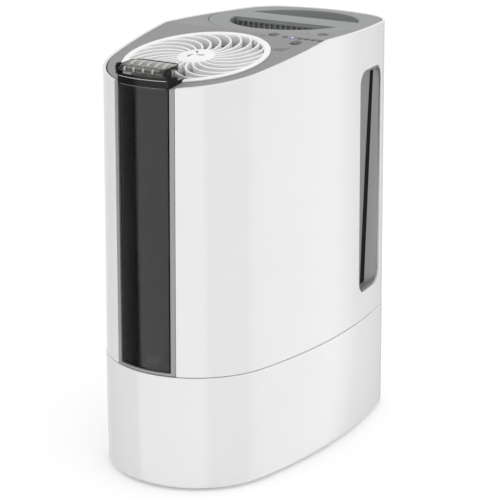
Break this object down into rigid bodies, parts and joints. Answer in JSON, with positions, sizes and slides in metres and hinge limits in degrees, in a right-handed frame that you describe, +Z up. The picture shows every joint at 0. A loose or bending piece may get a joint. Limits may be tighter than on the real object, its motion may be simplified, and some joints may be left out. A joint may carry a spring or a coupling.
{
  "type": "cool mist humidifier",
  "caption": "Upright rounded-teardrop evaporative humidifier with a lift-out nose tank, spiral fan grille, side air inlets and a lift-off rear filter lid.",
  "frame": {"origin": "on the floor under the middle of the footprint", "axes": "+Z up, nose and tank towards -Y, +X to the object's left seen from the nose"},
  "size_m": [0.2196, 0.375, 0.45],
  "materials": {
    "white_shell": "glossy white moulded plastic",
    "deck_grey": "fine matte grey plastic",
    "recess_grey": "fine matte darker grey plastic",
    "inner_plastic": "plain grey plastic inside",
    "smoked_tank": "smoked translucent plastic",
    "black_plastic": "glossy black plastic",
    "white_grille": "satin white plastic",
    "fan_black": "black plastic fan",
    "soft_rubber": "black rubber",
    "steel": "plain steel",
    "brass_pin": "plain brass",
    "board_green": "coated circuit board",
    "dark_lens": "dark indicator windows",
    "lit_lens": "lit indicator window",
    "button_grey": "satin grey plastic",
    "wick_paper": "folded absorbent paper",
    "float_foam": "closed-cell foam float"
  },
  "bodies": {
    "base": {"base_shell": "white_shell", "reservoir_tray": "inner_plastic", "rubber_feet": "soft_rubber", "valve_pin": "inner_plastic", "float_post": "inner_plastic"},
    "float": {"level_float": "float_foam"},
    "housing": {"upper_shell": "white_shell", "top_deck": "deck_grey", "tank_bay": "recess_grey", "inlet_duct_right": "deck_grey", "inlet_duct_left": "deck_grey", "fan_plate": "inner_plastic", "plate_screws": "steel", "air_bulkhead": "inner_plastic", "fan_shroud": "fan_black", "motor_mount": "fan_black", "fan_motor": "steel", "fan_grille": "white_grille", "grille_badge": "white_shell", "control_board": "board_green", "humidity_sensor": "black_plastic", "tact_switches": "black_plastic", "indicator_lenses": "dark_lens", "lit_lens": "lit_lens", "power_inlet": "black_plastic", "inlet_pins": "brass_pin"},
    "rotor": {"motor_shaft": "steel", "impeller": "fan_black"},
    "power_key": {"power_button": "button_grey"},
    "speed_key": {"speed_button": "button_grey"},
    "humidity_key": {"humidity_button": "button_grey"},
    "tank": {"tank_body": "smoked_tank", "tank_cap": "black_plastic", "cap_seal": "soft_rubber", "handle_pins": "steel", "valve_housing": "white_grille", "valve_spring": "steel"},
    "handle": {"tank_handle": "smoked_tank"},
    "valve": {"valve_plunger": "white_grille", "valve_seal": "soft_rubber"},
    "cartridge": {"filter_lid": "deck_grey", "slot_grille": "recess_grey", "filter_tab": "white_grille", "filter_frame": "inner_plastic", "wick_filter": "wick_paper"}
  },
  "joints": [
    {"name": "housing_lift", "type": "slide", "parent": "base", "child": "housing", "axis": [0, 0, 1], "range_m": [0, 0.135]},
    {"name": "float_rise", "type": "slide", "parent": "base", "child": "float", "axis": [0, 0, 1], "range_m": [0, 0.06]},
    {"name": "fan_spin", "type": "hinge", "parent": "housing", "child": "rotor", "pos_m": [0, -0.0875, 0.404], "axis": [0, 0, 1], "continuous": true},
    {"name": "power_press", "type": "slide", "parent": "housing", "child": "power_key", "axis": [0, 0, -1], "range_m": [0, 0.001], "stiffness_N_per_m": 400},
    {"name": "speed_press", "type": "slide", "parent": "housing", "child": "speed_key", "axis": [0, 0, -1], "range_m": [0, 0.001], "stiffness_N_per_m": 400},
    {"name": "humidity_press", "type": "slide", "parent": "housing", "child": "humidity_key", "axis": [0, 0, -1], "range_m": [0, 0.001], "stiffness_N_per_m": 400},
    {"name": "tank_lift", "type": "slide", "parent": "housing", "child": "tank", "axis": [0, 0, 1], "range_m": [0, 0.35]},
    {"name": "handle_swing", "type": "hinge", "parent": "tank", "child": "handle", "pos_m": [0, -0.1756, 0.4358], "axis": [1, 0, 0], "range_deg": [0, 95]},
    {"name": "valve_stroke", "type": "slide", "parent": "tank", "child": "valve", "axis": [0, 0, 1], "range_m": [0, 0.003], "stiffness_N_per_m": 300, "deforming": ["valve_spring"]},
    {"name": "cartridge_lift", "type": "slide", "parent": "housing", "child": "cartridge", "axis": [0, 0, 1], "range_m": [0, 0.445]}
  ]
}
